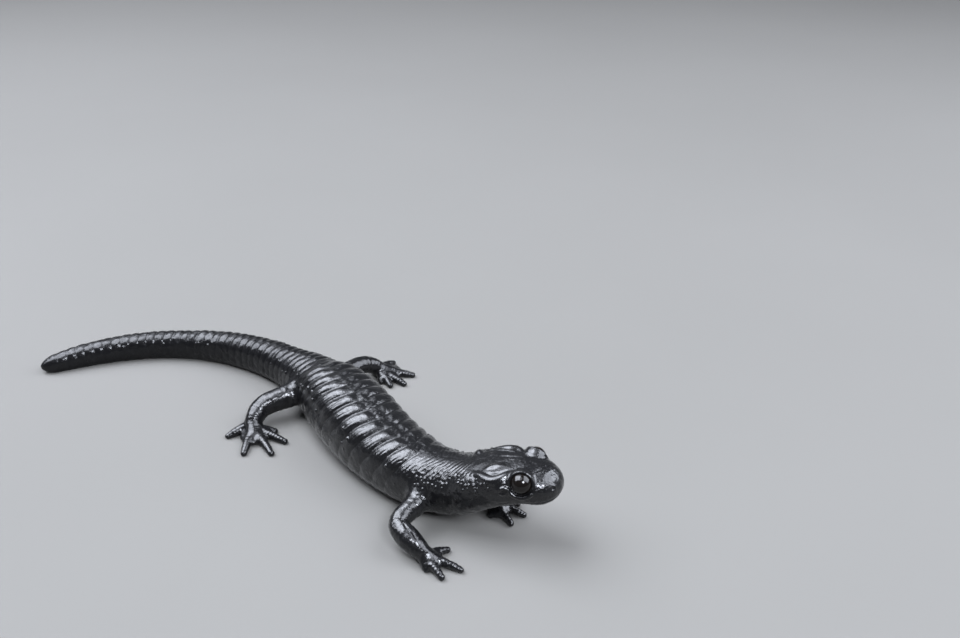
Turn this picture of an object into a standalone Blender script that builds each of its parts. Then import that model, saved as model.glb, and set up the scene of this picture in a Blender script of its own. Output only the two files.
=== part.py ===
"""Alpine salamander (Salamandra atra) at rest, life size.

The animal lies along a spine that is set by headings: the head looks one way, the trunk
turns off it and the tail sweeps back in an arc. Every length of head, neck, trunk and tail
is a loft of sections read along that spine, and every limb is a set of tapered tubes.
Neighbouring pieces keep a thin gap. All that touches the floor is flat at height zero.
"""
import math
from collections import namedtuple

import bmesh
import bpy
import numpy as np
from mathutils import Vector

MM = 0.001

# ---------------------------------------------------------------- driving dimensions
TOTAL_LENGTH = 119.9 * MM
GAP = 0.3 * MM
SNOUT_PLACE = (48.76 * MM, -24.34 * MM)
SPINE_STEP = 0.25 * MM

# Sections from the snout back: place along the spine, half width, height of the back, of
# the widest level and of the underside, all in millimetres, and the heading in degrees.
Station = namedtuple("Station", "name along half_width back widest underside heading")
STATIONS = [
    Station("snout", 0.0, 3.80, 13.1, 11.0, 8.8, -19.5),
    Station("nostril", 1.4, 3.92, 13.4, 11.0, 8.5, -20.2),
    Station("eye", 5.0, 4.18, 14.0, 11.0, 8.0, -21.8),
    Station("jaw", 9.1, 5.00, 13.25, 9.9, 6.3, -22.6),
    Station("throat", 13.1, 5.00, 12.05, 7.7, 3.4, -25.4),
    Station("neck", 17.1, 4.90, 10.6, 6.1, 1.4, -30.3),
    Station("shoulder", 21.6, 5.25, 9.9, 5.1, 0.4, -36.7),
    Station("chest", 28.6, 5.80, 9.9, 4.8, -0.3, -45.5),
    Station("belly", 41.6, 6.60, 11.3, 5.3, -0.3, -55.5),
    Station("loin", 51.6, 6.00, 10.5, 5.0, -0.3, -57.3),
    Station("groin", 57.6, 4.80, 8.9, 4.3, -0.3, -51.2),
    Station("hip", 61.1, 4.35, 8.3, 4.0, -0.3, -46.4),
    Station("vent", 65.6, 3.68, 7.4, 3.6, -0.3, -40.8),
    Station("tail root", 72.6, 3.18, 6.8, 3.4, -0.3, -33.1),
    Station("tail quarter", 81.6, 2.78, 6.1, 3.0, -0.3, -21.5),
    Station("tail middle", 91.6, 2.42, 5.2, 2.6, -0.3, -5.9),
    Station("tail third", 101.6, 2.32, 4.8, 2.4, -0.3, 9.7),
    Station("tail bend", 111.6, 2.05, 4.05, 2.0, -0.3, 22.0),
    Station("tail tip", 119.9, 1.45, 2.8, 1.4, -0.3, 28.5),
]
NOSE_ROUNDING = 4.2 * MM
NOSE_HEIGHT_ROUNDING = 2.6 * MM
TAIL_ROUNDING = 3.0 * MM
BACK_SQUARENESS = 2.15
BELLY_SQUARENESS = 2.5

# Where one length of the body ends and the next begins, as distances along the spine.
BODY_LENGTHS = {
    "head": (0.0, 12.4 * MM),
    "neck": (12.7 * MM, 17.2 * MM),
    "trunk_front": (17.5 * MM, 38.2 * MM),
    "trunk_rear": (38.5 * MM, 53.8 * MM),
    "pelvis": (54.1 * MM, 65.8 * MM),
    "tail_base": (66.1 * MM, 83.6 * MM),
    "tail_middle": (83.9 * MM, 101.6 * MM),
    "tail_end": (101.9 * MM, TOTAL_LENGTH),
}

# The costal folds run from behind the shoulder to the groin.
FOLD_PITCH = 2.67 * MM
FOLD_REAR_CREST = 49.95 * MM
FOLD_SPAN = (20.6 * MM, 55.6 * MM)
FOLD_HEIGHT = 0.22 * MM

# The parotoid gland swells each side of the head behind the eye.
PAROTOID_ALONG = 11.0 * MM
PAROTOID_HALF_LENGTH = 4.0 * MM
PAROTOID_HEIGHT = 0.60 * MM
PAROTOID_BLUNTNESS = 6
PAROTOID_ANGLE = math.radians(40.0)
PAROTOID_SPREAD = math.radians(26.0)

EYE_ALONG = 5.3 * MM
EYE_OUT = 3.10 * MM
EYE_LEVEL = 12.45 * MM
EYE_RADIUS = 1.65 * MM
LID_THICKNESS = 0.5 * MM
LID_OPENING_OUT = 0.75 * MM
LID_OPENING_TILT = math.radians(22.0)
LID_WINDOW = 5.6 * MM

MOUTH_CORNER = 8.2 * MM
MOUTH_LEVEL = 8.8 * MM
MOUTH_SLOPE = math.radians(9.0)
MOUTH_BLOCK = 30.0 * MM

# How finely the pieces are drawn. The rings close up towards the nose and the tail's tip;
# their places there are shares of the rounded length.
BODY_SIDES = 24
HEAD_SIDES = 28
TAIL_SIDES = 16
HEAD_RING_STEP = 1.0 * MM
PLAIN_RING_STEP = 1.6 * MM
TAIL_RING_STEP = 2.5 * MM
NOSE_RING_SHARES = (0.02, 0.1, 0.28, 0.6)
TAIL_RING_SHARES = (0.6, 0.28, 0.08, 0.01)
EYE_SEGMENTS = 16
EYE_RINGS = 10
PALM_SEGMENTS = 12
PALM_RINGS = 6
LIMB_RING_STEP = 0.85 * MM
SQUARE_END = 0.25 * MM
JOINT_BLOCK = 9.0 * MM
LIMB_BEVEL_RESOLUTION = 3
TOE_BEVEL_RESOLUTION = 2

# A limb's joints are placed from a point of the spine: forward, to the left, and up.
# Each row is a name, those three in millimetres, and the limb's radius there.
SHOULDER_ALONG = 21.6 * MM
HIP_ALONG = 60.1 * MM
Joint = namedtuple("Joint", "name forward left up radius")
LIMBS = {
    "arm_right": [
        Joint("socket", 1.2, -3.0, 4.7, 2.0),
        Joint("shoulder", 1.5, -6.0, 4.6, 1.70),
        Joint("elbow", 1.9, -10.3, 3.7, 1.55),
        Joint("forearm", 4.6, -11.0, 2.9, 1.75),
        Joint("wrist", 7.0, -10.8, 1.6, 1.25),
        Joint("palm", 8.3, -10.5, 0.95, 0.90),
    ],
    "arm_left": [
        Joint("socket", 1.2, 3.0, 4.7, 2.0),
        Joint("shoulder", 1.4, 6.0, 4.5, 1.75),
        Joint("elbow", 3.4, 8.5, 3.6, 1.45),
        Joint("forearm", 6.2, 7.3, 2.7, 1.55),
        Joint("wrist", 8.5, 4.8, 1.6, 1.20),
        Joint("palm", 10.0, 4.2, 0.95, 0.90),
    ],
    "leg_right": [
        Joint("socket", 1.9, -2.4, 4.1, 2.2),
        Joint("hip", 2.0, -6.0, 3.9, 2.15),
        Joint("knee", 1.0, -11.7, 2.9, 1.80),
        Joint("shank", 1.8, -13.2, 2.2, 1.62),
        Joint("ankle", 2.8, -14.2, 1.5, 1.35),
        Joint("sole", 4.4, -15.0, 0.95, 1.00),
    ],
    "leg_left": [
        Joint("socket", 1.9, 2.4, 4.1, 2.2),
        Joint("hip", 1.9, 5.8, 3.6, 1.80),
        Joint("knee", 1.7, 11.1, 3.0, 1.65),
        Joint("shank", 2.1, 12.6, 2.3, 1.55),
        Joint("ankle", 2.8, 13.7, 1.5, 1.30),
        Joint("sole", 4.0, 15.0, 0.95, 1.00),
    ],
}
LIMB_PIECES = {"arm": ("upper_arm", "forearm", "hand"), "leg": ("thigh", "shank", "foot")}

# Tips of the fingers and toes, first to last, forward and left in millimetres.
DIGIT_TIPS = {
    "arm_right": [(8.9, -6.9), (13.2, -9.2), (11.9, -12.3), (9.0, -12.6)],
    "arm_left": [(9.5, 2.2), (13.4, 2.8), (13.9, 5.9), (11.6, 7.5)],
    "leg_right": [(5.7, -11.1), (9.6, -11.6), (10.9, -15.3), (7.6, -19.1), (1.0, -18.8)],
    "leg_left": [(5.7, 11.6), (8.0, 12.3), (9.3, 14.8), (7.8, 18.2), (1.3, 18.3)],
}
DIGIT_ROOT_SHARE = 0.22
PALM_HALF_LENGTH = {"arm": 1.60 * MM, "leg": 2.3 * MM}
PALM_HALF_WIDTH = {"arm": 1.70 * MM, "leg": 2.4 * MM}
PALM_HALF_HEIGHT = 0.85 * MM
PALM_LEVEL = 0.72 * MM
TOE_ROOT_RADIUS = {"arm": 0.74 * MM, "leg": 0.86 * MM}
TOE_TIP_RADIUS = {"arm": 0.48 * MM, "leg": 0.54 * MM}
TOE_ROOT_LEVEL = 0.80 * MM
TOE_TIP_LEVEL = 0.40 * MM
OUTER_TOE = 5
OUTER_TOE_ROOT_RADIUS = 1.1 * MM
OUTER_TOE_ROOT_SHARE = 0.15
TOE_ARCH = 0.18 * MM
TOE_STEPS = 3
TOE_TIP_SHARES = (0.6, 0.92)
FLOOR_BLOCK = 300.0 * MM

SKIN_BLACK = (0.012, 0.012, 0.013)
SKIN_ROUGHNESS = 0.3
EYE_BLACK = (0.004, 0.004, 0.004)
EYE_ROUGHNESS = 0.05


# ---------------------------------------------------------------- the body's form
def smooth_through(x, places, values):
    """Cubic through (places, values), each knot's slope taken from its neighbours."""
    places = np.asarray(places, dtype=float)
    values = np.asarray(values, dtype=float)
    slopes = np.gradient(values, places)
    x = np.clip(x, places[0], places[-1])
    low = np.clip(np.searchsorted(places, x, side="right") - 1, 0, len(places) - 2)
    width = places[low + 1] - places[low]
    t = (x - places[low]) / width
    rise = (values[low + 1] - values[low]) / width
    start = slopes[low]
    end = slopes[low + 1]
    bend = 3.0 * rise - 2.0 * start - end
    twist = start + end - 2.0 * rise
    return values[low] + width * t * (start + t * (bend + t * twist))


def station_value(along, field, scale):
    places = [station.along * MM for station in STATIONS]
    values = [getattr(station, field) * scale for station in STATIONS]
    return smooth_through(along, places, values)


SPINE_ALONG = np.arange(0.0, TOTAL_LENGTH + SPINE_STEP / 2.0, SPINE_STEP)
SPINE_HEADING = station_value(SPINE_ALONG, "heading", math.pi / 180.0)


def spine_places():
    """Walk back from the snout, against the heading, in short steps."""
    middle = (SPINE_HEADING[1:] + SPINE_HEADING[:-1]) / 2.0
    x = SNOUT_PLACE[0] - np.concatenate([[0.0], np.cumsum(np.cos(middle))]) * SPINE_STEP
    y = SNOUT_PLACE[1] - np.concatenate([[0.0], np.cumsum(np.sin(middle))]) * SPINE_STEP
    return x, y


SPINE_X, SPINE_Y = spine_places()


def spine_frame(along):
    """Point of the spine in plan, with the unit vectors forward and to the left."""
    x = np.interp(along, SPINE_ALONG, SPINE_X)
    y = np.interp(along, SPINE_ALONG, SPINE_Y)
    heading = np.interp(along, SPINE_ALONG, SPINE_HEADING)
    forward = Vector((math.cos(heading), math.sin(heading), 0.0))
    left = Vector((-math.sin(heading), math.cos(heading), 0.0))
    return Vector((x, y, 0.0)), forward, left


def place(along, forward_by, left_by, up_by):
    """A point given forward, to the left and up from a point of the spine."""
    origin, forward, left = spine_frame(along)
    return origin + forward * forward_by + left * left_by + Vector((0.0, 0.0, up_by))


def rounded_end(distance, length):
    """Factor that closes a form like a quarter circle over the last length."""
    t = min(max(distance / length, 0.0), 1.0)
    return math.sqrt(max(1.0 - (1.0 - t) ** 2, 0.0))


def fold_height(along, angle):
    """Costal folds: full on the flanks and back, none along the belly."""
    if not FOLD_SPAN[0] < along < FOLD_SPAN[1]:
        return 0.0
    wave = math.cos(2.0 * math.pi * (along - FOLD_REAR_CREST) / FOLD_PITCH)
    return FOLD_HEIGHT * wave * max(math.sin(angle), 0.0)


def parotoid_height(along, angle):
    across = min(angle, math.pi - angle) - PAROTOID_ANGLE
    lengthwise = ((along - PAROTOID_ALONG) / PAROTOID_HALF_LENGTH) ** PAROTOID_BLUNTNESS
    return PAROTOID_HEIGHT * math.exp(-lengthwise - (across / PAROTOID_SPREAD) ** 2)


def section_point(along, angle, grow=0.0):
    """Point of the surface: angle 0 on the left flank, a quarter turn up the back."""
    nose = rounded_end(along, NOSE_ROUNDING)
    nose_height = rounded_end(along, NOSE_HEIGHT_ROUNDING)
    tip = rounded_end(TOTAL_LENGTH - along, TAIL_ROUNDING)
    half_width = station_value(along, "half_width", MM) * nose * tip
    back = station_value(along, "back", MM)
    widest = station_value(along, "widest", MM)
    underside = station_value(along, "underside", MM)
    upper = (back - widest) * nose_height * tip
    lower = (widest - underside) * nose_height * tip
    up = math.sin(angle) >= 0.0
    power = 2.0 / (BACK_SQUARENESS if up else BELLY_SQUARENESS)
    across = math.copysign(abs(math.cos(angle)) ** power, math.cos(angle))
    rise = math.copysign(abs(math.sin(angle)) ** power, math.sin(angle))
    relief = grow + fold_height(along, angle) + parotoid_height(along, angle) * nose
    left_by = across * half_width + relief * math.cos(angle)
    up_by = widest + rise * (upper if up else lower) + relief * math.sin(angle)
    return place(along, 0.0, left_by, max(up_by, 0.0 if grow == 0.0 else -grow))


# ---------------------------------------------------------------- making objects
def clear_scene():
    for obj in list(bpy.data.objects):
        bpy.data.objects.remove(obj, do_unlink=True)


def new_collection(name):
    collection = bpy.data.collections.new(name)
    bpy.context.scene.collection.children.link(collection)
    return collection


def mesh_object(name, bm, collection):
    """Object from a bmesh, faces turned outward and shaded smooth."""
    bmesh.ops.recalc_face_normals(bm, faces=bm.faces)
    mesh = bpy.data.meshes.new(name)
    bm.to_mesh(mesh)
    bm.free()
    mesh.shade_smooth()
    obj = bpy.data.objects.new(name, mesh)
    collection.objects.link(obj)
    return obj


def loft(name, start, end, sides, step, collection, grow=0.0):
    """Closed loft of the body's sections from one place on the spine to another."""
    count = max(int(round((end - start) / step)), 2)
    alongs = [start + (end - start) * i / count for i in range(count + 1)]
    if start < SPINE_STEP:
        near = NOSE_HEIGHT_ROUNDING
        alongs = [near * share for share in NOSE_RING_SHARES]
        alongs += [near + (end - near) * i / count for i in range(count + 1)]
    if end > TOTAL_LENGTH - SPINE_STEP:
        near = TOTAL_LENGTH - TAIL_ROUNDING
        alongs = [start + (near - start) * i / count for i in range(count + 1)]
        alongs += [TOTAL_LENGTH - TAIL_ROUNDING * share for share in TAIL_RING_SHARES]
    bm = bmesh.new()
    rings = []
    for along in alongs:
        angles = [2.0 * math.pi * i / sides for i in range(sides)]
        rings.append([bm.verts.new(section_point(along, angle, grow)) for angle in angles])
    for ring, following in zip(rings, rings[1:]):
        for i in range(sides):
            j = (i + 1) % sides
            bm.faces.new((ring[i], ring[j], following[j], following[i]))
    bm.faces.new(rings[0])
    bm.faces.new(rings[-1])
    return mesh_object(name, bm, collection)


def ball(name, centre, radii, collection, segments=EYE_SEGMENTS, rings=EYE_RINGS, turn=0.0):
    """Ball or ellipsoid from a UV sphere primitive."""
    bpy.ops.mesh.primitive_uv_sphere_add(segments=segments, ring_count=rings, radius=1.0)
    obj = bpy.context.object
    obj.name = name
    obj.data.name = name
    for vertex in obj.data.vertices:
        vertex.co = Vector([value * radius for value, radius in zip(vertex.co, radii)])
    obj.data.shade_smooth()
    obj.location = centre
    obj.rotation_euler = (0.0, 0.0, turn)
    move_to(obj, collection)
    return obj


def block(name, centre, size, facing, collection):
    """Cube with one pair of faces square to the way it faces."""
    bpy.ops.mesh.primitive_cube_add(size=size)
    obj = bpy.context.object
    obj.name = name
    obj.location = centre
    turn = math.atan2(facing.y, facing.x)
    obj.rotation_euler = (0.0, -math.asin(facing.z), turn)
    move_to(obj, collection)
    return obj


def wall(name, point, facing, size, collection):
    """Cube whose near face holds the point; it fills the side that it faces."""
    return block(name, point + facing * size / 2.0, size, facing, collection)


def move_to(obj, collection):
    for owner in list(obj.users_collection):
        owner.objects.unlink(obj)
    collection.objects.link(obj)


def tube(name, points, radii, bevel_resolution, collection):
    """Tapered tube along a curve, turned into a mesh with its caps welded."""
    curve = bpy.data.curves.new(name, "CURVE")
    curve.dimensions = "3D"
    curve.bevel_depth = 1.0
    curve.bevel_resolution = bevel_resolution
    curve.use_fill_caps = True
    spline = curve.splines.new("POLY")
    spline.points.add(len(points) - 1)
    for point, position, radius in zip(spline.points, points, radii):
        point.co = (*position, 1.0)
        point.radius = radius
    guide = bpy.data.objects.new(name, curve)
    bpy.context.scene.collection.objects.link(guide)
    evaluated = guide.evaluated_get(bpy.context.evaluated_depsgraph_get())
    mesh = bpy.data.meshes.new_from_object(evaluated)
    bpy.data.objects.remove(guide, do_unlink=True)
    bm = bmesh.new()
    bm.from_mesh(mesh)
    bmesh.ops.remove_doubles(bm, verts=bm.verts, dist=0.001 * MM)
    bpy.data.meshes.remove(mesh)
    return mesh_object(name, bm, collection)


def combine(obj, other, operation):
    modifier = obj.modifiers.new(f"{operation.lower()}_{other.name}", "BOOLEAN")
    modifier.operation = operation
    modifier.solver = "EXACT"
    modifier.object = other


def hide_cutters(collection):
    for obj in collection.objects:
        obj.hide_render = True
        obj.display_type = "WIRE"


def paint(obj, colour, roughness):
    """Give a piece its own wet, glossy material."""
    material = bpy.data.materials.new(f"{obj.name}_surface")
    material.use_nodes = True
    shader = material.node_tree.nodes["Principled BSDF"]
    shader.inputs["Base Color"].default_value = (*colour, 1.0)
    shader.inputs["Roughness"].default_value = roughness
    shader.inputs["Metallic"].default_value = 0.0
    obj.data.materials.clear()
    obj.data.materials.append(material)


# ---------------------------------------------------------------- head, trunk and tail
def body_length(name, collection):
    """One length of the body. Trunk rings fall on the folds' crests and grooves."""
    start, end = BODY_LENGTHS[name]
    sides = BODY_SIDES
    step = PLAIN_RING_STEP
    if name == "head":
        sides = HEAD_SIDES
        step = HEAD_RING_STEP
    if name.startswith("tail"):
        sides = TAIL_SIDES
        step = TAIL_RING_STEP
    if name.startswith("trunk"):
        step = FOLD_PITCH / 2.0
    return loft(name, start, end, sides, step, collection)


def add_eyes(head, parts, cutters):
    """Lid mounds on the head, sockets in them, and an eyeball in each socket."""
    for side, sign in (("right", -1.0), ("left", 1.0)):
        centre = place(EYE_ALONG, 0.0, sign * EYE_OUT, EYE_LEVEL)
        lid = EYE_RADIUS + LID_THICKNESS
        mound = ball(f"lid_mound_{side}", centre, (lid, lid, lid), cutters)
        combine(head, mound, "UNION")
        room = EYE_RADIUS + GAP
        socket = ball(f"socket_{side}", centre, (room, room, room), cutters)
        combine(head, socket, "DIFFERENCE")
        trim_lid(head, side, sign, centre, cutters)
        eye = ball(f"eye_{side}", centre, (EYE_RADIUS,) * 3, parts)
        paint(eye, EYE_BLACK, EYE_ROUGHNESS)


def trim_lid(head, side, sign, centre, cutters):
    """Open the lids: a tilted wall takes the outer cap off the mound."""
    left = spine_frame(EYE_ALONG)[2]
    rise = Vector((0.0, 0.0, math.sin(LID_OPENING_TILT)))
    out = sign * left * math.cos(LID_OPENING_TILT) + rise
    rim = centre + out * LID_OPENING_OUT
    window = wall(f"lid_window_{side}", rim, out, LID_WINDOW, cutters)
    combine(head, window, "DIFFERENCE")


def split_jaw(head, parts, cutters):
    """Cut the lower jaw off along the mouth, from the snout to the mouth's corner."""
    jaw = head.copy()
    jaw.data = head.data.copy()
    jaw.name = "lower_jaw"
    jaw.data.name = "lower_jaw"
    jaw.modifiers.clear()
    parts.objects.link(jaw)
    forward = spine_frame(MOUTH_CORNER / 2.0)[1]
    upward = Vector((0.0, 0.0, 1.0))
    mouth = forward * math.cos(MOUTH_SLOPE) + upward * math.sin(MOUTH_SLOPE)
    below = forward * math.sin(MOUTH_SLOPE) - upward * math.cos(MOUTH_SLOPE)
    for obj, extra, operation in ((head, GAP, "DIFFERENCE"), (jaw, 0.0, "INTERSECT")):
        corner = place(MOUTH_CORNER + extra, 0.0, 0.0, MOUTH_LEVEL + extra)
        centre = corner + (mouth + below) * MOUTH_BLOCK / 2.0
        combine(obj, block(f"mouth_{obj.name}", centre, MOUTH_BLOCK, mouth, cutters), operation)
    return jaw


def build_body(parts, cutters):
    for name in BODY_LENGTHS:
        piece = body_length(name, parts)
        paint(piece, SKIN_BLACK, SKIN_ROUGHNESS)
        if name == "head":
            jaw = split_jaw(piece, parts, cutters)
            paint(jaw, SKIN_BLACK, SKIN_ROUGHNESS)
            add_eyes(piece, parts, cutters)
    start = BODY_LENGTHS["neck"][0]
    end = BODY_LENGTHS["pelvis"][1]
    return loft("body_clearance", start, end, BODY_SIDES, FOLD_PITCH / 2.0, cutters, GAP)


# ---------------------------------------------------------------- limbs
def limb_course(limb):
    """Points and radii along a limb's joints, evenly spaced, and each joint's place on it."""
    root = SHOULDER_ALONG if limb.startswith("arm") else HIP_ALONG
    joints = LIMBS[limb]
    knots = [place(root, j.forward * MM, j.left * MM, j.up * MM) for j in joints]
    lengths = [0.0]
    for before, after in zip(knots, knots[1:]):
        lengths.append(lengths[-1] + (after - before).length)
    radii = [joint.radius * MM for joint in joints]

    def at(distance):
        columns = [[knot[axis] for knot in knots] for axis in range(3)]
        position = [float(smooth_through(distance, lengths, column)) for column in columns]
        return Vector(position), float(smooth_through(distance, lengths, radii))

    return at, lengths


def limb_tube(name, at, start, end, collection):
    """Tube along part of a limb. Short end runs square its caps to the limb's course."""
    count = max(int(round((end - start) / LIMB_RING_STEP)), 3)
    inner_start = start + SQUARE_END
    inner_end = end - SQUARE_END
    stops = [inner_start + (inner_end - inner_start) * i / count for i in range(count + 1)]
    samples = [at(stop) for stop in (start, *stops, end)]
    points = [sample[0] for sample in samples]
    radii = [sample[1] for sample in samples]
    return tube(name, points, radii, LIMB_BEVEL_RESOLUTION, collection)


def part_at(upper, lower, at, bend, cutters):
    """Trim the ends that meet at an elbow or knee to two parallel faces, a gap apart."""
    point = at(bend)[0]
    course = (at(bend + SQUARE_END)[0] - at(bend - SQUARE_END)[0]).normalized()
    for obj, sign in ((upper, 1.0), (lower, -1.0)):
        face = point - course * sign * GAP / 2.0
        trim = wall(f"trim_{obj.name}", face, course * sign, JOINT_BLOCK, cutters)
        combine(obj, trim, "DIFFERENCE")


def digit(name, root, tip, root_radius, tip_radius, collection):
    """A finger or toe: it leaves the palm, arches a little and ends in a blunt tip."""
    run = tip - root
    straight = (run.length - tip_radius) / run.length
    points = []
    radii = []
    for i in range(TOE_STEPS + 1):
        t = i / TOE_STEPS
        lift = TOE_ARCH * math.sin(math.pi * t)
        level = TOE_ROOT_LEVEL + (TOE_TIP_LEVEL - TOE_ROOT_LEVEL) * t + lift
        flat = root + run * straight * t
        points.append(Vector((flat.x, flat.y, level)))
        radii.append(root_radius + (tip_radius - root_radius) * t)
    for share in TOE_TIP_SHARES:
        flat = root + run * (straight + (1.0 - straight) * share)
        points.append(Vector((flat.x, flat.y, TOE_TIP_LEVEL)))
        radii.append(tip_radius * math.sqrt(1.0 - share ** 2))
    return tube(name, points, radii, TOE_BEVEL_RESOLUTION, collection)


def palm_ball(name, centre, radii, turn, collection):
    return ball(name, centre, radii, collection, PALM_SEGMENTS, PALM_RINGS, turn)


def build_limb(limb, parts, cutters, clearance, floor):
    kind, side = limb.split("_")
    root = SHOULDER_ALONG if kind == "arm" else HIP_ALONG
    at, lengths = limb_course(limb)
    bend = lengths[2]
    last_bend = (lengths[3] + lengths[4]) / 2.0
    spare = 2.0 * SQUARE_END
    names = [f"{piece}_{side}" for piece in LIMB_PIECES[kind]]
    palm_joint = LIMBS[limb][5]
    centre = place(root, palm_joint.forward * MM, palm_joint.left * MM, PALM_LEVEL)
    wrist = at(lengths[4])[0]
    heel_joint = LIMBS[limb][3]
    heel = place(root, heel_joint.forward * MM, heel_joint.left * MM, PALM_LEVEL)
    turn = math.atan2(centre.y - wrist.y, centre.x - wrist.x)
    palm_radii = (PALM_HALF_LENGTH[kind], PALM_HALF_WIDTH[kind], PALM_HALF_HEIGHT)
    palm = palm_ball(f"palm_{limb}", centre, palm_radii, turn, cutters)
    room = tuple(radius + GAP for radius in palm_radii)
    palm_room = palm_ball(f"palm_room_{limb}", centre, room, turn, cutters)
    upper = limb_tube(names[0], at, 0.0, bend + spare, parts)
    lower = limb_tube(names[1], at, bend - spare, last_bend - GAP / 2.0, parts)
    part_at(upper, lower, at, bend, cutters)
    combine(upper, clearance, "DIFFERENCE")
    combine(lower, clearance, "DIFFERENCE")
    combine(lower, palm_room, "DIFFERENCE")
    paint(upper, SKIN_BLACK, SKIN_ROUGHNESS)
    paint(lower, SKIN_BLACK, SKIN_ROUGHNESS)
    end = limb_tube(names[2], at, last_bend + GAP / 2.0, lengths[5], parts)
    combine(end, palm, "UNION")
    for number, (forward_by, left_by) in enumerate(DIGIT_TIPS[limb], start=1):
        tip = place(root, forward_by * MM, left_by * MM, PALM_LEVEL)
        # The outer toe of the hind foot grows from the heel, not from the ankle.
        outer = number == OUTER_TOE
        source = heel if outer else wrist
        share = OUTER_TOE_ROOT_SHARE if outer else DIGIT_ROOT_SHARE
        thick = OUTER_TOE_ROOT_RADIUS if outer else TOE_ROOT_RADIUS[kind]
        start = source + (tip - source) * share
        tip_radius = TOE_TIP_RADIUS[kind]
        toe = digit(f"digit_{limb}_{number}", start, tip, thick, tip_radius, cutters)
        if outer:
            back = start - (tip - start).normalized() * GAP
            room = digit(f"toe_room_{limb}", back, tip, thick + GAP, tip_radius + GAP, cutters)
            combine(lower, room, "DIFFERENCE")
        combine(end, toe, "UNION")
    combine(end, floor, "DIFFERENCE")
    paint(end, SKIN_BLACK, SKIN_ROUGHNESS)


def main():
    clear_scene()
    parts = new_collection("alpine_salamander")
    cutters = new_collection("cutters")
    clearance = build_body(parts, cutters)
    downward = Vector((0.0, 0.0, -1.0))
    floor = wall("floor_block", Vector((0.0, 0.0, 0.0)), downward, FLOOR_BLOCK, cutters)
    for limb in LIMBS:
        build_limb(limb, parts, cutters, clearance, floor)
    hide_cutters(cutters)


main()
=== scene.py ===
"""Living skin, eyes and studio for the life-size alpine salamander.

The skin is one closed surface. It is drawn as a depth below or above the skin for any
point near the animal, so trunk, limbs, lids and glands run into one another as flesh does.
Lengths in the tables are millimetres; meshes are made in metres.
"""

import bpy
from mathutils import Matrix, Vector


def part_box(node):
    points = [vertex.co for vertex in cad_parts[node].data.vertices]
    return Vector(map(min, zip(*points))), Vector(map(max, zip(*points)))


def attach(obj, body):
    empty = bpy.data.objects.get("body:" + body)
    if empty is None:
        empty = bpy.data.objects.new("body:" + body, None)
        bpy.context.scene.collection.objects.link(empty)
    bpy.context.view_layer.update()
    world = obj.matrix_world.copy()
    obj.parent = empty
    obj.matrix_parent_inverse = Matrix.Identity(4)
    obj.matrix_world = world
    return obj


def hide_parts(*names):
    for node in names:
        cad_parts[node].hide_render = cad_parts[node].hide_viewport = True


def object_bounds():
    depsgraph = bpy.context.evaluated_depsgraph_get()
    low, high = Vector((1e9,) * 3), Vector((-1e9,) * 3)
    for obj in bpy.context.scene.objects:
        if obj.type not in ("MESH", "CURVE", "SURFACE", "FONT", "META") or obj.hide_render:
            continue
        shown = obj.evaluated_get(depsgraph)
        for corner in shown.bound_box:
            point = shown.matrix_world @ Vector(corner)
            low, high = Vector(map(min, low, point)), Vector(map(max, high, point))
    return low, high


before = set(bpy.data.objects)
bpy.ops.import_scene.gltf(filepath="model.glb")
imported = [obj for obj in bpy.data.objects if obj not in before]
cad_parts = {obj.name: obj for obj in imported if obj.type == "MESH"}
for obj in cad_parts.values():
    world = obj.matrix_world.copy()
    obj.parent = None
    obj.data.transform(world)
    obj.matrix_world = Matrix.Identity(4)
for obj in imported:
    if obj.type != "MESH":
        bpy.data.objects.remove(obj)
CAD_BOX = [list(corner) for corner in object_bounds()]

import math
from collections import namedtuple

import bmesh
import bpy
import numpy as np
from mathutils import Euler, Vector

MM = 0.001

# ==== the animal's measures
TOTAL_LENGTH = 119.9
SNOUT_PLACE = (48.76, -24.34)
SPINE_STEP = 0.25
SPINE_RUN_ON = 15.0

# Sections from the snout back: place along the spine, half width, height of the back, of
# the widest level and of the underside, and the heading in degrees.
Station = namedtuple("Station", "name along half_width back widest underside heading")
STATIONS = [Station(*row) for row in [
    ("snout", 0.0, 3.75, 13.1, 11.0, 8.9, -19.5),
    ("nostril", 1.4, 3.87, 13.3, 11.0, 8.6, -20.2),
    ("eye", 5.0, 4.18, 13.9, 11.0, 8.1, -21.8),
    ("jaw", 9.1, 5.00, 13.25, 9.9, 6.3, -22.6),
    ("throat", 13.1, 5.00, 12.05, 7.7, 3.4, -25.4),
    ("neck", 17.1, 4.90, 10.6, 6.1, 1.4, -30.3),
    ("shoulder", 21.6, 5.25, 9.9, 5.1, 0.4, -36.7),
    ("chest", 28.6, 5.80, 9.9, 4.8, -0.3, -45.5),
    ("belly", 41.6, 6.60, 11.3, 5.3, -0.3, -55.5),
    ("loin", 51.6, 6.00, 10.5, 5.0, -0.3, -57.3),
    ("groin", 57.6, 4.80, 8.9, 4.3, -0.3, -51.2),
    ("hip", 61.1, 4.35, 8.3, 4.0, -0.3, -46.4),
    ("vent", 65.6, 3.68, 7.4, 3.6, -0.3, -40.8),
    ("tail root", 72.6, 3.18, 6.8, 3.4, -0.3, -33.1),
    ("tail quarter", 81.6, 2.78, 6.1, 3.0, -0.3, -21.5),
    ("tail middle", 91.6, 2.42, 5.2, 2.6, -0.3, -5.9),
    ("tail third", 101.6, 2.32, 4.8, 2.4, -0.3, 9.7),
    ("tail bend", 111.6, 2.05, 4.05, 2.0, -0.3, 22.0),
    ("tail tip", 119.9, 1.45, 2.8, 1.4, -0.3, 28.5),
]]
NOSE_ROUNDING = 4.2
NOSE_HEIGHT_ROUNDING = 2.6
TAIL_ROUNDING = 3.0
BACK_SQUARENESS = 2.15
BELLY_SQUARENESS = 2.5

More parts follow.
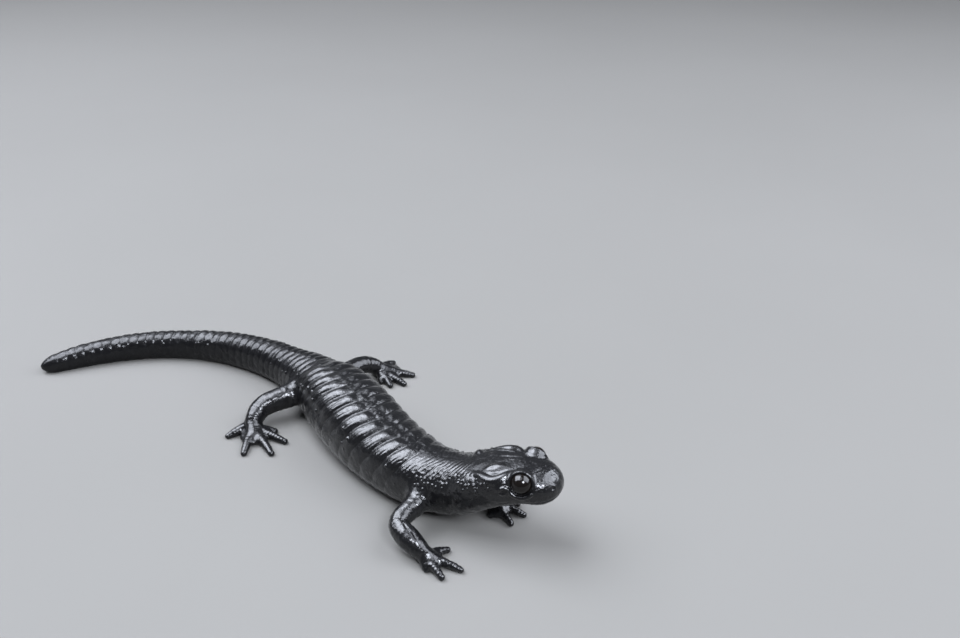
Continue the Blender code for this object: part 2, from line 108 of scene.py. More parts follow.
# Limb joints: forward, to the left and up from a point of the spine, and the radius there.
# They go by shoulder, elbow, forearm and wrist, or hip, knee, shank and ankle, to the sole.
SHOULDER_ALONG = 21.6
HIP_ALONG = 60.1
Joint = namedtuple("Joint", "forward left up radius")
LIMB_ROWS = {
    "arm_right": [
        (1.2, -3.0, 4.7, 2.0), (1.5, -6.0, 4.6, 1.70), (1.9, -10.3, 3.7, 1.55),
        (4.6, -11.0, 2.9, 1.75), (7.0, -10.8, 1.6, 1.25), (8.3, -10.5, 0.95, 0.90),
    ],
    "arm_left": [
        (1.2, 3.0, 4.7, 2.0), (1.4, 6.0, 4.5, 1.75), (3.4, 8.5, 3.6, 1.45),
        (6.2, 7.3, 2.7, 1.55), (8.5, 4.8, 1.6, 1.20), (10.0, 4.2, 0.95, 0.90),
    ],
    "leg_right": [
        (1.9, -2.4, 4.1, 2.2), (2.0, -6.0, 3.9, 2.15), (1.0, -11.7, 2.9, 1.80),
        (1.8, -13.2, 2.2, 1.62), (2.8, -14.2, 1.5, 1.35), (4.4, -15.0, 0.95, 1.00),
    ],
    "leg_left": [
        (1.9, 2.4, 4.1, 2.2), (1.9, 5.8, 3.6, 1.80), (1.7, 11.1, 3.0, 1.65),
        (2.1, 12.6, 2.3, 1.55), (2.8, 13.7, 1.5, 1.30), (4.0, 15.0, 0.95, 1.00),
    ],
}
LIMBS = {limb: [Joint(*row) for row in rows] for limb, rows in LIMB_ROWS.items()}
DIGIT_TIPS = {
    "arm_right": [(8.9, -6.9), (13.2, -9.2), (11.9, -12.3), (9.0, -12.6)],
    "arm_left": [(9.5, 2.2), (13.4, 2.8), (13.9, 5.9), (11.6, 7.5)],
    "leg_right": [(5.7, -11.1), (9.6, -11.6), (10.9, -15.3), (7.6, -19.1), (1.0, -18.8)],
    "leg_left": [(5.7, 11.6), (8.0, 12.3), (9.3, 14.8), (7.8, 18.2), (1.3, 18.3)],
}
DIGIT_ROOT_SHARE = 0.22
PALM_HALF_SIZE = {"arm": (1.60, 1.70, 0.85), "leg": (2.3, 2.4, 0.85)}
PALM_LEVEL = 0.72
TOE_ROOT_RADIUS = {"arm": 0.74, "leg": 0.86}
TOE_TIP_RADIUS = {"arm": 0.48, "leg": 0.54}
TOE_ROOT_LEVEL = 0.80
TOE_TIP_LEVEL = 0.40
TOE_ARCH = 0.18
TOE_WEB = 0.55
OUTER_TOE = 4
OUTER_TOE_ROOT_RADIUS = 1.2
OUTER_TOE_ROOT_SHARE = 0.12

PAROTOID_ALONG = 11.0
PAROTOID_HALF_LENGTH = 4.0
PAROTOID_HEIGHT = 0.60
PAROTOID_BLUNTNESS = 6
PAROTOID_FROM_TOP = math.radians(50.0)
PAROTOID_SPREAD = math.radians(26.0)

# The skin is searched for in coarse cells, then drawn in fine ones.
COARSE_CELL = 0.90
FINE_PER_COARSE = 4
FINE_CELL = COARSE_CELL / FINE_PER_COARSE
SEED = 7


# ==== the spine and its sections
def smooth_through(x, places, values):
    """Cubic through (places, values), each knot's slope taken from its neighbours."""
    places = np.asarray(places, dtype=float)
    values = np.asarray(values, dtype=float)
    slopes = np.gradient(values, places)
    x = np.clip(x, places[0], places[-1])
    low = np.clip(np.searchsorted(places, x, side="right") - 1, 0, len(places) - 2)
    width = places[low + 1] - places[low]
    t = (x - places[low]) / width
    rise = (values[low + 1] - values[low]) / width
    start = slopes[low]
    end = slopes[low + 1]
    bend = 3.0 * rise - 2.0 * start - end
    twist = start + end - 2.0 * rise
    return values[low] + width * t * (start + t * (bend + t * twist))


SPINE = np.arange(-SPINE_RUN_ON, TOTAL_LENGTH + SPINE_RUN_ON, SPINE_STEP)
STATION_PLACES = [s.along for s in STATIONS]
HEADING = np.radians(smooth_through(SPINE, STATION_PLACES, [s.heading for s in STATIONS]))
SECTION_FIELDS = ("half_width", "back", "widest", "underside")
SECTION = {
    field: smooth_through(SPINE, STATION_PLACES, [getattr(s, field) for s in STATIONS])
    for field in SECTION_FIELDS
}
ROUGH_STRIDE = 8
NEARING_ROUNDS = 4
POINTS_AT_ONCE = 20000


def section_at(along):
    """Half width, and height of the back, of the widest level and of the underside."""
    return (np.interp(along, SPINE, SECTION[field]) for field in SECTION_FIELDS)


def spine_places():
    """Walk from the snout both ways: back along the body, and on ahead of the nose."""
    middle = (HEADING[1:] + HEADING[:-1]) / 2.0
    x = -np.concatenate([[0.0], np.cumsum(np.cos(middle))]) * SPINE_STEP
    y = -np.concatenate([[0.0], np.cumsum(np.sin(middle))]) * SPINE_STEP
    x += SNOUT_PLACE[0] - np.interp(0.0, SPINE, x)
    y += SNOUT_PLACE[1] - np.interp(0.0, SPINE, y)
    return x, y


SPINE_X, SPINE_Y = spine_places()


def nearest_on_spine(points):
    """How far back along the spine each point lies, and how far to the left of it."""
    x = points[:, 0]
    y = points[:, 1]
    rough = slice(None, None, ROUGH_STRIDE)
    along = np.empty(len(points))
    for start in range(0, len(points), POINTS_AT_ONCE):
        part = slice(start, start + POINTS_AT_ONCE)
        gap_x = x[part, None] - SPINE_X[None, rough]
        gap_y = y[part, None] - SPINE_Y[None, rough]
        along[part] = SPINE[rough][np.argmin(gap_x ** 2 + gap_y ** 2, axis=1)]

    def off_spine(along):
        heading = np.interp(along, SPINE, HEADING)
        return heading, x - np.interp(along, SPINE, SPINE_X), y - np.interp(along, SPINE, SPINE_Y)

    for _ in range(NEARING_ROUNDS):
        heading, off_x, off_y = off_spine(along)
        along = along - off_x * np.cos(heading) - off_y * np.sin(heading)
    heading, off_x, off_y = off_spine(along)
    return along, off_y * np.cos(heading) - off_x * np.sin(heading)


def body_frame(along):
    """Point of the spine on the floor, and the unit vectors forward and to the left."""
    heading = np.interp(along, SPINE, HEADING)
    origin = np.array([np.interp(along, SPINE, SPINE_X), np.interp(along, SPINE, SPINE_Y), 0.0])
    forward = np.array([math.cos(heading), math.sin(heading), 0.0])
    left = np.array([-math.sin(heading), math.cos(heading), 0.0])
    return origin, forward, left


def place(along, forward_by, left_by, up_by):
    origin, forward, left = body_frame(along)
    return origin + forward * forward_by + left * left_by + np.array([0.0, 0.0, up_by])


# ==== how flesh joins and skin varies
def flow_together(first, second, width):
    """Join two pieces of flesh with a soft fillet about as wide as stated."""
    reach = np.maximum(width - np.abs(first - second), 0.0) / width
    return np.minimum(first, second) - reach * reach * width / 4.0


def carve(flesh, hollow, width):
    """Take a hollow out of the flesh and round the rim it leaves."""
    return -flow_together(-flesh, hollow, width)


def fade(x, low, high, before=0.0, after=1.0):
    """Goes smoothly from one value to another as x goes from low to high."""
    t = np.clip((x - low) / (high - low), 0.0, 1.0)
    return before + (after - before) * (t * t * (3.0 - 2.0 * t))


def hump(x, middle, reach):
    return np.exp(-(((x - middle) / reach) ** 2))


def shuffled(seed):
    return np.random.RandomState(seed).permutation(256)


def lottery(order, i, j, k=0):
    """A fixed number from 0 to 1 for every cell of a lattice."""
    first = order[(i + 7 * k) & 255]
    second = order[(first + j) & 255]
    return order[(second + 3 * k) & 255] / 255.0


def unevenness(points, size, seed):
    """Smooth random swell from -1 to 1, with lumps about the size stated."""
    order = shuffled(seed)
    scaled = points / size
    base = np.floor(scaled).astype(int)
    t = scaled - base
    t = t * t * (3.0 - 2.0 * t)
    total = np.zeros(len(points))
    for corner in np.ndindex(2, 2, 2):
        weight = 1.0
        value = 0
        for axis, step in enumerate(corner):
            weight = weight * (t[:, axis] if step else 1.0 - t[:, axis])
            value = order[(value + base[:, axis] + step) & 255]
        total += weight * (value / 127.5 - 1.0)
    return total


# Smooth random swells: how far each lifts or shifts the skin, how big a lump is, which draw.
SWELLS = {
    "fold wander": (0.16, 2.4, 1),
    "ring wander": (0.14, 1.6, 2),
    "nape wander": (0.20, 1.3, 3),
    "flank streaks": (0.03, 1.5, 4),
    "body lumps": (0.05, 1.1, 5),
    "body grain": (0.016, 0.45, 6),
    "limb lumps": (0.06, 0.9, 11),
    "limb grain": (0.022, 0.4, 12),
    "foot lumps": (0.045, 0.6, 13),
    "fringe wander": (0.10, 0.8, 14),
    "knob wander": (0.35, 1.0, 15),
    "knob breaks": (0.50, 0.9, 16),
    "knob lumps": (0.04, 0.6, 17),
    "limb crease wander": (0.35, 1.5, 18),
    "tail beads": (0.055, 0.8, 20),
    "limb crease breaks": (0.45, 1.9, 21),
    "toe crease wander": (0.22, 0.9, 22),
}


def swell(name, points):
    amount, lump, draw = SWELLS[name]
    return amount * unevenness(points, lump, SEED + draw)


# Low round grains, one to a cell at most: height, spacing of the cells, radius, the share of
# cells that hold one, which draw.
GRAINS = {
    "gland pores": (0.26, 0.72, 0.29, 0.85, 7),
    "flank warts": (0.24, 1.70, 0.38, 0.30, 8),
    "fine grain": (0.036, 0.46, 0.21, 0.70, 10),
    "cheek specks": (0.22, 0.95, 0.24, 0.30, 19),
}
GRAIN_SCATTER = 0.7
SMALLEST_GRAIN = 0.65
GRAIN_SIZE_RANGE = 0.6
GRAIN_DOMING = 1.5


def grains(name, lengthwise, around):
    height, spacing, radius, share, draw = GRAINS[name]
    order = shuffled(SEED + draw)
    column = np.floor(lengthwise / spacing).astype(int)
    row = np.floor(around / spacing).astype(int)
    tallest = np.zeros(len(lengthwise))
    for i, j in ((column + di, row + dj) for di in (-1, 0, 1) for dj in (-1, 0, 1)):
        middle_u = (i + 0.5 + GRAIN_SCATTER * (lottery(order, i, j, 1) - 0.5)) * spacing
        middle_v = (j + 0.5 + GRAIN_SCATTER * (lottery(order, i, j, 2) - 0.5)) * spacing
        size = radius * (SMALLEST_GRAIN + GRAIN_SIZE_RANGE * lottery(order, i, j, 3))
        away = ((lengthwise - middle_u) ** 2 + (around - middle_v) ** 2) / size ** 2
        present = lottery(order, i, j, 4) < share
        tallest = np.maximum(tallest, np.clip(1.0 - away, 0.0, 1.0) ** GRAIN_DOMING * present)
    return height * tallest


# ==== head, trunk and tail
def body_section(points):
    """Depth of the plain body's skin, with the place along it and round it."""
    along, left = nearest_on_spine(points)
    half_width, back, widest, underside = section_at(along)
    above = points[:, 2] - widest
    upper = above >= 0.0
    height = np.where(upper, back - widest, widest - underside)
    power = np.where(upper, BACK_SQUARENESS, BELLY_SQUARENESS)
    across = (np.abs(left) / half_width) ** power
    rise = (np.abs(above) / height) ** power
    section = (across + rise) ** (1.0 / power)
    share_up = np.sqrt(rise / np.maximum(across + rise, 1e-9))
    share_out = np.sqrt(across / np.maximum(across + rise, 1e-9))
    from_top = np.arctan2(share_out * np.sign(left), share_up * np.where(upper, 1.0, -1.0))
    nose = NOSE_ROUNDING + (NOSE_HEIGHT_ROUNDING - NOSE_ROUNDING) * share_up ** 2
    ahead = np.maximum(nose - along, 0.0)
    behind = np.maximum(along - (TOTAL_LENGTH - TAIL_ROUNDING), 0.0)
    size = np.sqrt(section ** 2 + (ahead / nose) ** 2 + (behind / TAIL_ROUNDING) ** 2)
    reach = np.sqrt(left ** 2 + above ** 2 + ahead ** 2 + behind ** 2)
    depth = reach * (1.0 - 1.0 / np.maximum(size, 1e-6))
    nose_fade = np.sqrt(np.clip(1.0 - (ahead / nose) ** 2, 0.0, 1.0))
    return depth, along, from_top, half_width, nose_fade


def parotoid_swelling(along, from_top, nose_fade):
    """The gland behind each eye: a long low pad on the upper side of the head."""
    lengthwise = ((along - PAROTOID_ALONG) / PAROTOID_HALF_LENGTH) ** PAROTOID_BLUNTNESS
    across = (np.abs(from_top) - PAROTOID_FROM_TOP) / PAROTOID_SPREAD
    return PAROTOID_HEIGHT * np.exp(-lengthwise - across ** 2) * nose_fade


# ==== relief of the skin
# Each fade is from and to, in millimetres back along the spine or in degrees down from the
# back's midline, then the share before and after.

# Costal folds: one welt to each rib, from behind the shoulder to the groin.
FOLD_PITCH = 2.67
FOLD_CREST = 48.615
FOLD_HEIGHT = 0.42
FOLD_FULLNESS = 2.3
FOLD_SLANT = 2.2
FOLD_SLANT_FROM = math.radians(15.0)
FOLDS_ALONG = ((21.0, 27.0, 0.0, 1.0), (53.0, 57.0, 1.0, 0.0))
FOLDS_ROUND = ((3.0, 16.0, 0.35, 1.0), (48.0, 85.0, 1.0, 0.28), (100.0, 128.0, 1.0, 0.0))

# Rings of the tail.
RING_PITCH = 1.72
RING_CREST = 57.14
RING_HEIGHT = 0.21
RING_FULLNESS = 2.1
RING_LEAN_FROM = 0.3
RINGS_LEAN = (62.0, 74.0, 1.0, 0.25)
RINGS_ALONG = ((54.0, 58.5, 0.0, 1.0), (114.0, 119.5, 1.0, 0.0))
RINGS_WEAKEN = (70.0, 110.0, 1.0, 0.55)
RINGS_DOWN_SIDE = (45.0, 80.0, 1.0, 0.4)
RINGS_UNDERNEATH = (100.0, 130.0, 1.0, 0.0)
BEADS_BEGIN = (62.0, 74.0, 0.0, 1.0)

# Height, pitch and slant of the wrinkles.
FINE_CREASES = {"nape": (0.12, 0.74, 2.4), "fringe": (0.07, 0.62, FOLD_SLANT)}
KNOB_WRINKLE_PITCH = FOLD_PITCH / 3.0
KNOB_WRINKLE_HEIGHT = 0.11
KNOB_SHARE = 0.5
KNOBS_WEAKEN = (62.0, 80.0, 1.0, 0.3)
STREAK_STRETCH = 0.6
FINE_GRAIN_BEHIND_SNOUT = (5.0, 9.0, 1.0, 0.4)

# Creases across the throat: place along the spine, height, half width.
THROAT_CREASES = ((15.2, -0.18, 0.5), (14.2, 0.081, 0.6), (18.6, -0.072, 0.4))
THROAT_FROM_CHEEK = (72.0, 105.0, 0.0, 1.0)

MOUTH_CORNER = 8.2
MOUTH_LEVEL = 8.95
MOUTH_SLOPE = math.radians(9.0)
MOUTH_END = (7.6, 9.0, 1.0, 0.0)
MOUTH_CLEFT_DEPTH = 0.12
MOUTH_CLEFT_HALF = 0.13
LIP_HEIGHT = 0.03
LIP_OFF_CLEFT = 0.42
LIP_HALF = 0.3
LOWER_LIP_SHARE = 0.6

# Regions of the skin: where along the spine each begins, is full, begins to fade and is gone,
# then its middle and spread in degrees down from the midline. Some fade only past the tail.
PAST_TAIL = (200.0, 201.0)
REGIONS = {
    "nape": (13.0, 15.0, 20.0, 24.0, 28.0, 17.0),
    "cheek": (7.5, 9.5, 21.0, 24.0, 84.0, 22.0),
    "flank": (14.0, 20.0, *PAST_TAIL, 80.0, 26.0),
    "wart row": (20.0, 24.0, *PAST_TAIL, 60.0, 20.0),
    "fringe": (20.0, 24.0, 56.0, 64.0, 44.0, 14.0),
    "midline": (18.0, 24.0, *PAST_TAIL, 1.0, 8.0),
}
# Pores of the gland and the neck: middle and half width along the spine, and round it.
GLAND_PORES = (11.6, 4.2, 53.0, 17.0)
NECK_PORES = (17.0, 4.5, 50.0, 16.0)


def on_region(name, along, angle):
    begins, full, fading, gone, middle, spread = REGIONS[name]
    reached = fade(along, begins, full) * fade(along, fading, gone, 1.0, 0.0)
    return reached * hump(angle, middle, spread)


def welt(turns, fullness=2.8):
    """Rounded welts one turn long with a narrow cleft between them; 0 to 1 high."""
    from_crest = np.abs((turns + 0.5) % 1.0 - 0.5) * 2.0
    return 1.0 - from_crest ** fullness


def faded(x, fades):
    share = 1.0
    for low, high, before, after in fades:
        share = share * fade(x, low, high, before, after)
    return share


def costal_folds(along, down, points):
    slant = FOLD_SLANT * (np.radians(down) - FOLD_SLANT_FROM)
    turns = (along - FOLD_CREST - slant + swell("fold wander", points)) / FOLD_PITCH
    folds = FOLD_HEIGHT * welt(turns, FOLD_FULLNESS)
    return folds * faded(along, FOLDS_ALONG) * faded(down, FOLDS_ROUND)


def tail_rings(along, down, points):
    """Rings that lean forward at the tail's root and break up into beads behind it."""
    lean = fade(along, *RINGS_LEAN) * (np.radians(down) - RING_LEAN_FROM)
    turns = (along - RING_CREST - lean + swell("ring wander", points)) / RING_PITCH
    rings = RING_HEIGHT * welt(turns, RING_FULLNESS)
    rings = rings * fade(along, *RINGS_WEAKEN) * fade(down, *RINGS_DOWN_SIDE)
    beads = swell("tail beads", points) * fade(along, *BEADS_BEGIN)
    return (rings + beads) * faded(along, RINGS_ALONG) * fade(down, *RINGS_UNDERNEATH)


def fine_creases(region, along, down, points):
    """Narrow slanting wrinkles: on the nape, and where the folds run out towards the flank."""
    height, pitch, slanting = FINE_CREASES[region]
    turns = (along - slanting * np.radians(down) + swell(region + " wander", points)) / pitch
    return height * welt(turns) * on_region(region, along, down)


def spine_knobs(along, angle, points):
    """Low irregular knobs and short wrinkles along the midline of the back."""
    turns = (along + swell("knob wander", points)) / KNOB_WRINKLE_PITCH
    wrinkles = KNOB_WRINKLE_HEIGHT * welt(turns) * (KNOB_SHARE + swell("knob breaks", points))
    knobs = wrinkles + swell("knob lumps", points)
    return knobs * on_region("midline", along, angle) * fade(along, *KNOBS_WEAKEN)


def throat_folds(along, down):
    """The gular fold rings the throat, with a low rim before it and a crease behind."""
    folds = sum(height * hump(along, middle, half) for middle, height, half in THROAT_CREASES)
    return folds * fade(down, *THROAT_FROM_CHEEK)


def mouth_line(points, along):
    """A fine closed cleft between the jaws, to the corner below the back of the eye."""
    forward = body_frame(MOUTH_CORNER / 2.0)[1]
    before_corner = (points - place(MOUTH_CORNER, 0.0, 0.0, 0.0)) @ forward
    off = points[:, 2] - MOUTH_LEVEL - np.maximum(before_corner, 0.0) * math.tan(MOUTH_SLOPE)
    lips = hump(off, LIP_OFF_CLEFT, LIP_HALF) + LOWER_LIP_SHARE * hump(off, -LIP_OFF_CLEFT, LIP_HALF)
    cleft = MOUTH_CLEFT_DEPTH * hump(off, 0.0, MOUTH_CLEFT_HALF)
    return (LIP_HEIGHT * lips - cleft) * fade(along, *MOUTH_END)


def skin_relief(points, along, from_top, half_width):
    """All that stands up from the plain body, or is pressed into it, in millimetres."""
    angle = np.degrees(from_top)
    down = np.abs(angle)
    around = from_top * half_width
    relief = costal_folds(along, down, points) + tail_rings(along, down, points)
    relief += fine_creases("nape", along, down, points) + throat_folds(along, down)
    relief += mouth_line(points, along) + spine_knobs(along, angle, points)
    drawn_out = np.stack([along, around * STREAK_STRETCH, np.zeros(len(along))], axis=1)
    relief += swell("flank streaks", drawn_out) * on_region("flank", along, down)
    relief += swell("body lumps", points) + swell("body grain", points)
    middle, half, *band = GLAND_PORES
    gland = np.exp(-(((along - middle) / half) ** 4)) * hump(down, *band)
    neck = hump(along, *NECK_PORES[:2]) * hump(down, *NECK_PORES[2:])
    relief += grains("gland pores", along, around) * np.maximum(gland, neck)
    relief += grains("cheek specks", along, around) * on_region("cheek", along, down)
    relief += grains("flank warts", along, around) * on_region("wart row", along, down)
    relief += fine_creases("fringe", along, down, points)
    relief += grains("fine grain", along, around) * fade(along, *FINE_GRAIN_BEHIND_SNOUT)
    return relief


# ==== folds of the head
# Each roll of skin follows spots given as place along the spine and degrees down from the
# midline; its middle sits below the skin by the sink, so only its back shows.
Roll = namedtuple("Roll", "name sides radius sink spots")
BOTH = (-1.0, 1.0)
LEFT_ONLY = (1.0,)
RIGHT_ONLY = (-1.0,)
ROLLS = [
    Roll("gland edge", BOTH, 0.80, 0.54, [
        (13.2, 33), (12.3, 36), (11.3, 41), (10.2, 48), (9.3, 51),
        (8.5, 48), (7.7, 41), (7.0, 34), (6.6, 29),
    ]),
    Roll("gland heel", LEFT_ONLY, 0.75, 0.42, [(13.6, 18), (14.2, 28), (14.3, 38)]),
    Roll("gland crest", RIGHT_ONLY, 0.80, 0.66, [(11.0, 27), (10.2, 21), (9.4, 18), (8.4, 17)]),
    Roll("temple", LEFT_ONLY, 0.18, 0.09, [(13.6, 32), (12.3, 31), (10.9, 29), (9.6, 28), (8.3, 26)]),
    Roll("crown", LEFT_ONLY, 0.14, 0.09, [(10.2, 10), (9.0, 11), (7.6, 12), (6.2, 13)]),
    Roll("mouth corner", BOTH, 0.30, 0.02, [(8.1, 73), (7.8, 68), (7.3, 67), (6.9, 72), (6.8, 79)]),
    Roll("mouth corner fold", BOTH, 0.18, 0.0, [(8.0, 79), (7.6, 83), (7.1, 82)]),
]
FURROWS = [
    Roll("gland furrow", BOTH, 0.62, -0.40, [
        (11.0, 31), (10.4, 34), (9.7, 36), (8.9, 35), (8.2, 30), (7.7, 25),
    ]),
]
POINTS_TO_SPOT = 3
COURSE_STEP = 0.5
FOLD_END_SHARE = 0.30
FOLD_REACH = 1.2
FOLD_FILLET = 0.20


def skin_spot(along, from_top):
    """A point on the plain skin; the angle is measured from the back's midline, to the left."""
    half_width, back, widest, underside = section_at(along)
    side = abs(from_top)
    upper = side <= math.pi / 2.0
    power = BACK_SQUARENESS if upper else BELLY_SQUARENESS
    height = back - widest if upper else underside - widest
    gland = float(parotoid_swelling(along, from_top, 1.0))
    out = half_width * math.sin(side) ** (2.0 / power) + gland * math.sin(side)
    up = widest + height * abs(math.cos(side)) ** (2.0 / power) + gland * math.cos(side)
    return place(along, 0.0, math.copysign(out, from_top), up)


def course_through(knots, count=None):
    """Points on a smooth line through the knots, how far on each lies, and where knots lie."""
    knots = np.array(knots)
    lengths = np.concatenate([[0.0], np.cumsum(np.linalg.norm(np.diff(knots, axis=0), axis=1))])
    stops = np.linspace(0.0, lengths[-1], count or int(lengths[-1] / COURSE_STEP) + 1)
    points = np.stack([smooth_through(stops, lengths, column) for column in knots.T], axis=1)
    return points, stops, lengths


def thinned(share):
    """A fold's radius, full in its middle (1) and thin at its ends (0)."""
    return FOLD_END_SHARE + (1.0 - FOLD_END_SHARE) * share


def lay_roll(roll, sign):
    """The course of a roll on one side of the head, thinning out at both ends."""
    knots = []
    for along, angle in roll.spots:
        spot = skin_spot(along, sign * math.radians(angle))
        outward = spot - place(along, 0.0, 0.0, np.interp(along, SPINE, SECTION["widest"]))
        knots.append(spot - outward / np.linalg.norm(outward) * roll.sink)
    centres, stops, _ = course_through(knots, POINTS_TO_SPOT * len(knots))
    middle = np.sin(math.pi * stops / stops[-1])
    return centres, roll.radius * thinned(np.sqrt(np.maximum(middle, 0.0))), stops


ROLL_COURSES = [lay_roll(roll, sign) for roll in ROLLS for sign in roll.sides]
FURROW_COURSES = [lay_roll(roll, sign) for roll in FURROWS for sign in roll.sides]


def lay_head_folds(flesh, points):
    for courses, join in ((FURROW_COURSES, carve), (ROLL_COURSES, flow_together)):
        for centres, radii, stops in courses:
            low = centres.min(axis=0) - FOLD_REACH
            high = centres.max(axis=0) + FOLD_REACH
            near = np.flatnonzero(np.all((points > low) & (points < high), axis=1))
            if len(near):
                fold, _ = along_chain(points[near], centres, radii, stops)
                flesh[near] = join(flesh[near], fold, FOLD_FILLET)
    return flesh


# ==== eyes and lids
EYE_ALONG = 5.3
EYE_TILT_UP = math.radians(22.0)
EYE_TURN_FORWARD = math.radians(10.0)
LID_REACH = 6.0
LID_THICKNESS = 0.32
LID_OPENING_OUT = 0.55
LID_FILLET = 0.4
LID_TUCK = 0.30
BOWL_SLOPE = 0.9
BOWL_REACH = 1.3
BOWL_FILLET = 0.35
UPPER_LIP = 0.17
UPPER_LIP_RING = 0.0935
LOWER_LIP = 0.34
LOWER_LIP_OUT = 0.56
LOWER_LIP_RING = 2.06
LIP_SINK = 0.5
LIP_FILLET = 0.12
BELOW_EYE = (0.1, 1.2)
CORNEA_BULGE = 0.035
CORNEA_SPREAD = 0.75
EYE_RINGS = 48
EYE_SIDES = 72

NOSTRIL_ALONG = 0.95
NOSTRIL_OUT = 2.15
NOSTRIL_LEVEL = 11.95
NOSTRIL_FLATTENING = 1.25
NOSTRIL_DEPTH = 0.17
NOSTRIL_HALF = 0.24
NOSTRIL_RIM = 0.05
NOSTRIL_RIM_RING = (0.5, 0.22)


def eye_measures(side):
    low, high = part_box(f"eye_{side}")
    centre = np.array((low + high) / 2.0) / MM
    radius = (high.z - low.z) / 2.0 / MM
    _, forward, left = body_frame(EYE_ALONG)
    out = left if side == "left" else -left
    level = out * math.cos(EYE_TURN_FORWARD) + forward * math.sin(EYE_TURN_FORWARD)
    axis = level * math.cos(EYE_TILT_UP) + np.array([0.0, 0.0, math.sin(EYE_TILT_UP)])
    ahead = forward - axis * (forward @ axis)
    ahead = ahead / np.linalg.norm(ahead)
    up = np.cross(axis, ahead)
    up = up if up[2] > 0.0 else -up
    return {"centre": centre, "radius": radius, "axis": axis, "ahead": ahead, "up": up}


EYES = {side: eye_measures(side) for side in ("right", "left")}


def lay_lids(flesh, points):
    """Swell the flesh into a lid mound over each eye, and open it round the eyeball."""
    for eye in EYES.values():
        radius = eye["radius"]
        near = np.flatnonzero(np.sum((points - eye["centre"]) ** 2, axis=1) < LID_REACH ** 2)
        if len(near) == 0:
            continue
        off = points[near] - eye["centre"]
        away = np.linalg.norm(off, axis=1)
        out = off @ eye["axis"]
        from_axis = np.sqrt(np.maximum(away ** 2 - out ** 2, 0.0))
        part = flow_together(flesh[near], away - radius - LID_THICKNESS, LID_FILLET)
        # The flesh falls away to the lids in a shallow bowl.
        bowl = LID_OPENING_OUT - out + BOWL_SLOPE * np.maximum(from_axis - radius, 0.0)
        bowl = bowl / math.hypot(1.0, BOWL_SLOPE)
        part = carve(part, np.maximum(bowl, from_axis - radius - BOWL_REACH), BOWL_FILLET)
        # Each lip stands along its own half of the opening, and sinks away in the other.
        below = fade(-(off @ eye["up"]), *BELOW_EYE)
        upper = np.hypot(from_axis - radius - UPPER_LIP_RING, out - LID_OPENING_OUT) - UPPER_LIP
        part = flow_together(part, upper + LIP_SINK * below, LIP_FILLET)
        lower = np.hypot(from_axis - LOWER_LIP_RING, out - LOWER_LIP_OUT) - LOWER_LIP * below
        part = flow_together(part, lower + LIP_SINK * (1.0 - below), LIP_FILLET)
        flesh[near] = np.maximum(part, radius - LID_TUCK - away)
    return flesh


def nostrils(flesh, points):
    for sign in BOTH:
        off = points - place(NOSTRIL_ALONG, 0.0, sign * NOSTRIL_OUT, NOSTRIL_LEVEL)
        away = np.linalg.norm(off * np.array([1.0, 1.0, NOSTRIL_FLATTENING]), axis=1)
        flesh += NOSTRIL_DEPTH * hump(away, 0.0, NOSTRIL_HALF)
        flesh -= NOSTRIL_RIM * hump(away, *NOSTRIL_RIM_RING)
    return flesh


# ==== limbs
DIGIT_POINTS = 9
KNUCKLE_HEIGHT = 0.05
KNUCKLES = ((0.40, 0.12), (0.74, 0.10))
LIMB_MARGIN = 4.5
FOOT_FILLET = 0.7
ARM_FOLD_FILLET = 0.18
# The fillet between body and limb, from the socket to just past the second joint.
BODY_FILLET = (0.55, 1.15, 1.5, 0.3)

# Spots of a fold and a groove on the right arm: forward of the shoulder, outward and up.
SHOULDER_FOLD = [
    (2.2, 5.95, 6.15), (2.7, 5.68, 6.0), (3.0, 5.48, 5.7),
    (3.3, 5.35, 5.2), (3.5, 5.2, 4.6), (3.55, 5.0, 3.9),
]
SHOULDER_FOLD_RADIUS = 0.24
FOREARM_GROOVE = [
    (3.2, 10.6, 5.0), (4.0, 10.95, 4.95), (4.8, 11.2, 4.7), (5.5, 11.35, 4.35), (6.1, 11.45, 3.9),
]
FOREARM_GROOVE_RADIUS = 0.22

# Creases where a limb bends: number of the joint, how far past it, height and half width.
LIMB_CREASES = (
    (1, 0.60, 0.08, 0.26), (1, 1.10, -0.06, 0.20),
    (2, -0.45, -0.07, 0.22), (2, -0.05, 0.05, 0.26), (2, 0.50, -0.06, 0.20),
    (4, -0.50, -0.06, 0.20), (4, 0.25, -0.05, 0.18),
)
LIMB_CREASE_SHARE = 0.55
TOE_CREASE_PITCH = 0.62
TOE_CREASE_HEIGHT = 0.022
TOE_CREASES_BEGIN = (0.4, 1.1)


def limb_course(root, joints):
    """Closely spaced points along a limb, with the radius at each and the joints' places."""
    knots = [place(root, j.forward, j.left, j.up) for j in joints]
    centres, stops, lengths = course_through(knots)
    return (centres, smooth_through(stops, lengths, [j.radius for j in joints]), stops), lengths


def digit_course(root, tip, root_radius, tip_radius):
    """A finger or toe leaves the palm, arches a little and ends in a blunt pad."""
    run = tip - root
    length = np.linalg.norm(run)
    shares = np.linspace(0.0, (length - tip_radius) / length, DIGIT_POINTS)
    t = shares / shares[-1]
    centres = root + run * shares[:, None]
    level = TOE_ROOT_LEVEL + (TOE_TIP_LEVEL - TOE_ROOT_LEVEL) * t
    centres[:, 2] = level + TOE_ARCH * np.sin(np.pi * t)
    radii = root_radius + (tip_radius - root_radius) * t
    knuckles = KNUCKLE_HEIGHT * sum(hump(t, *knuckle) for knuckle in KNUCKLES)
    return centres, radii + knuckles, t * length


